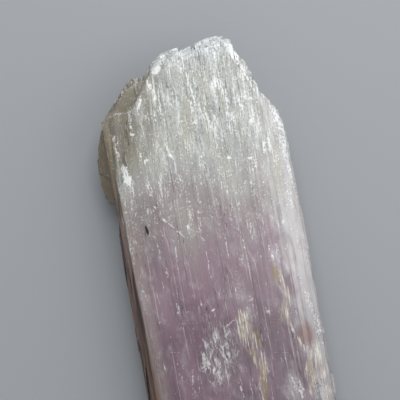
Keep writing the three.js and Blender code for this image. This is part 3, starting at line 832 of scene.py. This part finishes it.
def painted_over(tree, ground, layers):
    """The ground colour with the colour of each layer laid over it by the layer's share."""
    painted = (*ground, 1.0)
    for share, hue in layers:
        layer = {MIX_SHARE: share, MIX_UNDER: painted, MIX_OVER: (*hue, 1.0)}
        painted = add_node(tree, MIX, layer, MIXED_COLOUR, data_type="RGBA")
    return painted


def fine_relief(tree, height, place, course, y, stained, grooves):
    """The relief that is finer than the mesh, as a bump: striae, etching that makes the tip
    sparkle, and the grooves of the etched patch."""
    striae = stretched_noise(tree, course, 0.5, 4.0, seed=14)
    etching = stretched_noise(tree, place, 0.4, 0.6, roughness=0.6, seed=15)
    sparkle = add_node(tree, MAP_RANGE, (stained, 0.0, 1.0, 1.0, 0.35))
    sparkle = add_node(tree, MAP_RANGE, (y, *SPARKLE_Y, 0.35, sparkle), interpolation_type=SMOOTH)
    relief = add_node(tree, MATH, (etching, sparkle), operation="MULTIPLY")
    relief = add_node(tree, MATH, (striae, 0.7, relief), operation="MULTIPLY_ADD")
    relief = add_node(tree, MATH, (grooves, 1.5, relief), operation="MULTIPLY_ADD")
    bump = {"Strength": 1.0, "Distance": height, "Height": relief}
    return add_node(tree, "ShaderNodeBump", bump)


def spodumene(colours, shape):
    """Kunzite, the lilac gem variety of spodumene: glassy where clear, and milky where fine
    healed fibres fill it, with a silky gleam down the striae. It is etched, not polished."""
    material = bpy.data.materials.new("etched_kunzite")
    material.use_nodes = True
    tree = material.node_tree
    tree.nodes.clear()
    place = in_millimetres(tree, add_node(tree, "ShaderNodeTexCoord", output="Object"))
    x, y, z = add_node(tree, "ShaderNodeSeparateXYZ", (place,)).node.outputs
    normal = add_node(tree, "ShaderNodeTexCoord", output="Normal")
    normal_x, normal_y, normal_z = add_node(tree, "ShaderNodeSeparateXYZ", (normal,)).node.outputs
    course = striae_course(tree, place)
    crooked = wavering(tree, place, 0.35, 0.7, 1.4, seed=17)
    straighter = wavering(tree, place, 0.16, 1.2, 3.0, seed=17)

    # the stained growth has few white fibres
    zones, clear, stained = growth_zones(tree, colours, place, x, y, z)
    clean = add_node(tree, MAP_RANGE, (stained, 0.0, 1.0, 0.75, 0.12))
    even, tone = fibrous_tones(tree, course, y, normal_y)
    grains = stretched_noise(tree, place, 0.5, 0.6, roughness=0.6, seed=11)
    # white flecks, partly painted glints
    specks_and_glints = white_specks_and_glints(tree, course, y, grains, clean)
    # painted light: the ledge walls are painted paler to lift the shade they lie in
    ledges = painted_light_on_ledge_walls(tree, z, normal_x, even)
    # painted light: the broken foot is paled against the shade it lies in
    broken, bruises = lightened_broken_foot(tree, place, normal_y)
    patch, strokes, etched, pits = etched_patch(tree, place, crooked)
    film, brown, lines = clay_film(tree, course, x, y, normal_y, normal_z)

    # the patterns that fray the edges of the marks
    fray = add_node(tree, MAP_RANGE, (grains, 0.35, 0.65, -0.6, 0.6))
    fray = add_node(tree, MATH, (tone, 1.2, fray), operation="MULTIPLY_ADD")
    scratch_fray = add_node(tree, MATH, (fray, 0.9), operation="MULTIPLY")
    cloud_fray = add_node(tree, MATH, (fray, 0.45), operation="MULTIPLY")
    threads = stretched_noise(tree, course, 0.4, 4.0, detail=3.0, roughness=0.6, seed=18)
    thready = add_node(tree, MAP_RANGE, (threads, 0.35, 0.65, -0.7, 0.9))

    # the marks
    fainter = add_node(tree, MAP_RANGE, (y, *FROSTED_Y, 0.65, 1.0), interpolation_type=SMOOTH)
    frosted = marks(tree, crooked, FROSTED, fray, most=fainter)
    scratches = marks(tree, straighter, SCRATCHES, scratch_fray, full=0.7)
    clouds = marks(tree, course, CLOUDS, cloud_fray, full=0.9, most=0.55)
    straw = marks(tree, course, STRAW, cloud_fray, full=0.9, most=0.6)
    cream = marks(tree, crooked, CREAM, thready, full=0.7, most=0.9)
    ochre = marks(tree, crooked, OCHRE, thready, full=0.7, most=0.7)
    hollows = marks(tree, crooked, SHADED_HOLLOWS, fray)
    window = marks(tree, place, WINDOW, SMOOTH_EDGE, full=0.7)
    speck = marks(tree, place, SPECK, SMOOTH_EDGE)

    # all that is white, each with the most that it covers; the flecks are partly painted glints and
    # the bruises partly painted light
    white_threads = (threads, 0.52, 0.62, 0.0, cream)
    white_threads = add_node(tree, MAP_RANGE, white_threads, interpolation_type=SMOOTH)
    white = open_fibres(tree, course, y, tone, clean)
    for share, most in (
        (frosted, 0.85),
        (scratches, 0.8),
        (specks_and_glints, 0.85),
        (bruises, 0.6),
        (etched, 0.6),
        (white_threads, 0.5),
    ):
        share = add_node(tree, MATH, (share, most), operation="MULTIPLY")
        white = add_node(tree, MATH, (white, share), operation="MAXIMUM")

    # all that is dark or veiled: painted shade in the hollows and pits, and a milky veil that is
    # partly painted light on the broken foot
    upwards = add_node(tree, MAP_RANGE, (y, *GAPS_Y, 0.08, 0.85), interpolation_type=SMOOTH)
    gaps = add_node(tree, MAP_RANGE, (even, 1.18, 0.96, 0.0, upwards), interpolation_type=SMOOTH)
    # painted shade in the hollows and in the etched pits
    hollows = add_node(tree, MATH, (hollows, pits), operation="MAXIMUM")
    hollows = add_node(tree, MATH, (hollows, 0.6), operation="MULTIPLY")
    # the veil over the broken foot is painted light, the one over the etched patch is real
    veil_and_break_light = add_node(tree, MATH, (patch, broken), operation="MAXIMUM")
    veil_and_break_light = add_node(tree, MATH, (veil_and_break_light, 0.24), operation="MULTIPLY")

    layers = (
        *zones,
        (gaps, colours.gap),
        # painted light on the ledge walls
        (ledges, colours.milk),
        (clouds, colours.milk),
        (straw, colours.warm),
        (veil_and_break_light, colours.milk),
        (window, colours.rosy),
        (cream, colours.cream),
        (ochre, colours.ochre),
        # painted shade in the hollows and pits
        (hollows, colours.painted_shade),
        (white, colours.fibre),
        (brown, colours.flank),
        (lines, colours.line),
        (speck, colours.speck),
    )
    painted = painted_over(tree, colours.middle, layers)

    grooves = add_node(tree, MATH, (strokes, patch), operation="MULTIPLY")
    bump = fine_relief(tree, shape.bump, place, course, y, stained, grooves)

    # the film is rough, the white growth a little, and both let less light through
    roughness = add_node(tree, MAP_RANGE, (film, 0.0, 1.0, 0.26, 0.75))
    roughness = add_node(tree, MATH, (white, 0.18, roughness), operation="MULTIPLY_ADD")
    glassy = add_node(tree, MATH, (clear, stained), operation="MAXIMUM")
    glassy = add_node(tree, MAP_RANGE, (glassy, 0.0, 1.0, 0.14, 0.4))
    covered = white
    for cover in (brown, ledges, broken):
        covered = add_node(tree, MATH, (covered, cover), operation="MAXIMUM")
    transmission = add_node(tree, MAP_RANGE, (covered, 0.0, 1.0, glassy, 0.02))
    skin = {
        "Base Color": painted,
        "Roughness": roughness,
        "IOR": REFRACTION,
        "Transmission Weight": transmission,
        "Subsurface Weight": 0.2,
        "Subsurface Radius": (1.0, 0.8, 0.9),
        "Subsurface Scale": 1.0 * MM,
        "Normal": bump,
    }
    skin = add_node(tree, "ShaderNodeBsdfPrincipled", skin)
    depth = {"Color": (*colours.depth, 1.0), "Density": DEPTH_DENSITY}
    depth = add_node(tree, "ShaderNodeVolumeAbsorption", depth)
    add_node(tree, "ShaderNodeOutputMaterial", {"Surface": skin, "Volume": depth})
    return material


# ---- The stage ----------------------------------------------------------------------------


ROOM_LIGHT = (0.9, 0.95, 1.0)  # faintly cool, in linear red, green and blue
SENSOR = 36.0  # width of the camera's sensor in mm, as the lens is


def matt_paint(name, rgb):
    """Matt emulsion on board: one even tone that hardly gleams."""
    material = bpy.data.materials.new(name)
    material.use_nodes = True
    shader = material.node_tree.nodes["Principled BSDF"]
    shader.inputs["Base Color"].default_value = (*rgb, 1.0)
    shader.inputs["Roughness"].default_value = 0.85
    return material


class KUNZITE_OT_stage(bpy.types.Operator):
    """Set the pale floor, the soft lights and the camera"""

    bl_idname = "kunzite.stage"
    bl_label = "Stage"

    def execute(self, context):
        stage = context.scene.kunzite_stage
        bpy.ops.mesh.primitive_plane_add(size=stage.floor_size, location=(0.0, 0.0, 0.0))
        floor = context.view_layer.objects.active
        floor.name = "studio_floor"
        floor.data.materials.append(matt_paint("matt_studio_floor", tuple(stage.floor)))

        middle = (0.0, 0.0, CAD_HIGH.z)
        nearer_tip = (0.0, 20.0 * MM, CAD_HIGH.z)
        self.light("key_light", stage.key_place, nearer_tip, stage.key_size, stage.key)
        self.light("fill_light", stage.fill_place, middle, stage.fill_size, stage.fill)

        world = bpy.data.worlds.new("soft_room")
        world.use_nodes = True
        background = world.node_tree.nodes["Background"]
        background.inputs["Color"].default_value = (*ROOM_LIGHT, 1.0)
        background.inputs["Strength"].default_value = stage.ambient
        context.scene.world = world

        distance = stage.view_width * stage.lens / SENSOR
        x, y, z = stage.view_centre
        bpy.ops.object.camera_add(location=(x, y, z + distance), rotation=(0.0, 0.0, -stage.lean))
        camera = context.view_layer.objects.active
        camera.name = "camera"
        camera.data.lens = stage.lens
        camera.data.sensor_width = SENSOR
        context.scene.camera = camera
        context.scene.view_settings.view_transform = "Standard"
        return {"FINISHED"}

    def light(self, name, location, target, size, watts):
        """Adds a square soft box at location that points at target."""
        aim = Vector(target) - Vector(location)
        bpy.ops.object.light_add(
            type="AREA", location=location, rotation=aim.to_track_quat("-Z", "Y").to_euler()
        )
        lamp = bpy.context.view_layer.objects.active
        lamp.name = name
        lamp.data.size = size
        lamp.data.energy = watts


class KUNZITE_PT_panel(bpy.types.Panel):
    """The crystal's settings and steps"""

    bl_label = "Kunzite"
    bl_idname = "KUNZITE_PT_panel"
    bl_space_type = "VIEW_3D"
    bl_region_type = "UI"
    bl_category = "Kunzite"

    def draw(self, context):
        for group in SETTINGS:
            settings = getattr(context.scene, group)
            box = self.layout.box()
            for name in settings.__annotations__:
                box.prop(settings, name)
        for operator in (KUNZITE_OT_crystal, KUNZITE_OT_stage):
            self.layout.operator(operator.bl_idname)


SETTINGS = {
    "kunzite_shape": KunziteShape,
    "kunzite_colours": KunziteColours,
    "kunzite_stage": KunziteStage,
}
CLASSES = (*SETTINGS.values(), KUNZITE_OT_crystal, KUNZITE_OT_stage, KUNZITE_PT_panel)


def register():
    for cls in CLASSES:
        bpy.utils.register_class(cls)
    for name, group in SETTINGS.items():
        setattr(bpy.types.Scene, name, bpy.props.PointerProperty(type=group))


def unregister():
    for name in SETTINGS:
        delattr(bpy.types.Scene, name)
    for cls in reversed(CLASSES):
        bpy.utils.unregister_class(cls)


def main():
    """Makes the crystal and its stage."""
    register()
    bpy.ops.kunzite.crystal()
    bpy.ops.kunzite.stage()


if __name__ == "__main__":
    main()
